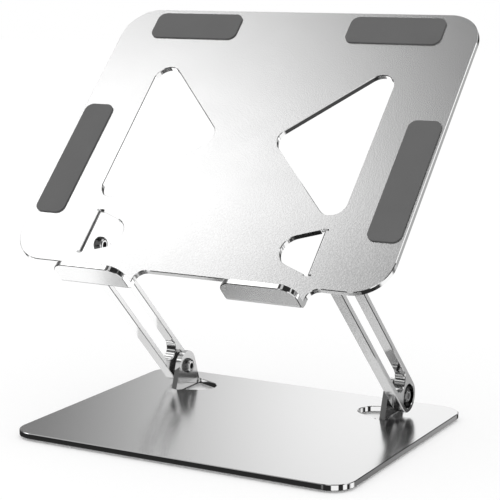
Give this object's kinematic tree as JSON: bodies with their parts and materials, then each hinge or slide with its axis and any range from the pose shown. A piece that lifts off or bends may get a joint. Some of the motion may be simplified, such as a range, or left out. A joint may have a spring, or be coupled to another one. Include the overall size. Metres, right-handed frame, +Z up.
{
  "type": "laptop stand",
  "caption": "Folding laptop stand: a flat base plate carries slotted arms on friction pivots, and they carry a tilting tray with triangular windows, front hooks and soft pads.",
  "frame": {"origin": "on the desk, under the middle of the base plate", "axes": "+X to the right as seen from the front, +Y to the back, +Z up"},
  "size_m": [0.278, 0.1956, 0.2803],
  "materials": {
    "base_plate": "satin anodised",
    "tray_plate": "fine sand-blasted with polished cut edges",
    "arm_bar": "satin anodised",
    "pad_silicone": "matt grey silicone",
    "foot_silicone": "matt dark silicone",
    "fastener_steel": "bright zinc",
    "spring_steel": "hardened",
    "washer_nylon": "black nylon"
  },
  "bodies": {
    "base": {"base_plate": "base_plate", "base_foot_front_left": "foot_silicone", "base_foot_front_right": "foot_silicone", "base_foot_back_left": "foot_silicone", "base_foot_back_right": "foot_silicone", "base_screw_left": "fastener_steel", "base_friction_washer_left": "washer_nylon", "base_spring_washer_left": "spring_steel", "base_lock_nut_left": "fastener_steel", "base_screw_right": "fastener_steel", "base_friction_washer_right": "washer_nylon", "base_spring_washer_right": "spring_steel", "base_lock_nut_right": "fastener_steel"},
    "left_arm": {"left_arm": "arm_bar"},
    "right_arm": {"right_arm": "arm_bar"},
    "tray_pivot": {"tray_screw_left": "fastener_steel", "tray_friction_washer_left": "washer_nylon", "tray_spring_washer_left": "spring_steel", "tray_lock_nut_left": "fastener_steel"},
    "tray": {"tray_plate": "tray_plate", "tray_pad_top_left": "pad_silicone", "tray_pad_top_right": "pad_silicone", "tray_pad_side_left": "pad_silicone", "tray_pad_side_right": "pad_silicone", "hook_pad_left": "pad_silicone", "hook_pad_right": "pad_silicone", "tray_screw_right": "fastener_steel", "tray_friction_washer_right": "washer_nylon", "tray_spring_washer_right": "spring_steel", "tray_lock_nut_right": "fastener_steel"}
  },
  "joints": [
    {"name": "left_arm_fold", "type": "hinge", "parent": "base", "child": "left_arm", "pos_m": [-0.0926, 0.0631, 0.0195], "axis": [-1, 0, 0], "range_deg": [-45, 45]},
    {"name": "right_arm_fold", "type": "hinge", "parent": "base", "child": "right_arm", "pos_m": [0.0926, 0.0631, 0.0195], "axis": [-1, 0, 0], "range_deg": [-45, 45]},
    {"name": "tray_level", "type": "hinge", "parent": "left_arm", "child": "tray_pivot", "pos_m": [-0.0926, -0.04523, 0.12783], "axis": [-1, 0, 0], "range_deg": [-45, 45]},
    {"name": "tray_tilt", "type": "hinge", "parent": "tray_pivot", "child": "tray", "pos_m": [0, -0.04523, 0.12783], "axis": [1, 0, 0], "range_deg": [-45, 30]}
  ],
  "couplings": [
    {"joint": "right_arm_fold", "follows": "left_arm_fold", "ratio": 1},
    {"joint": "tray_level", "follows": "left_arm_fold", "ratio": -1}
  ]
}
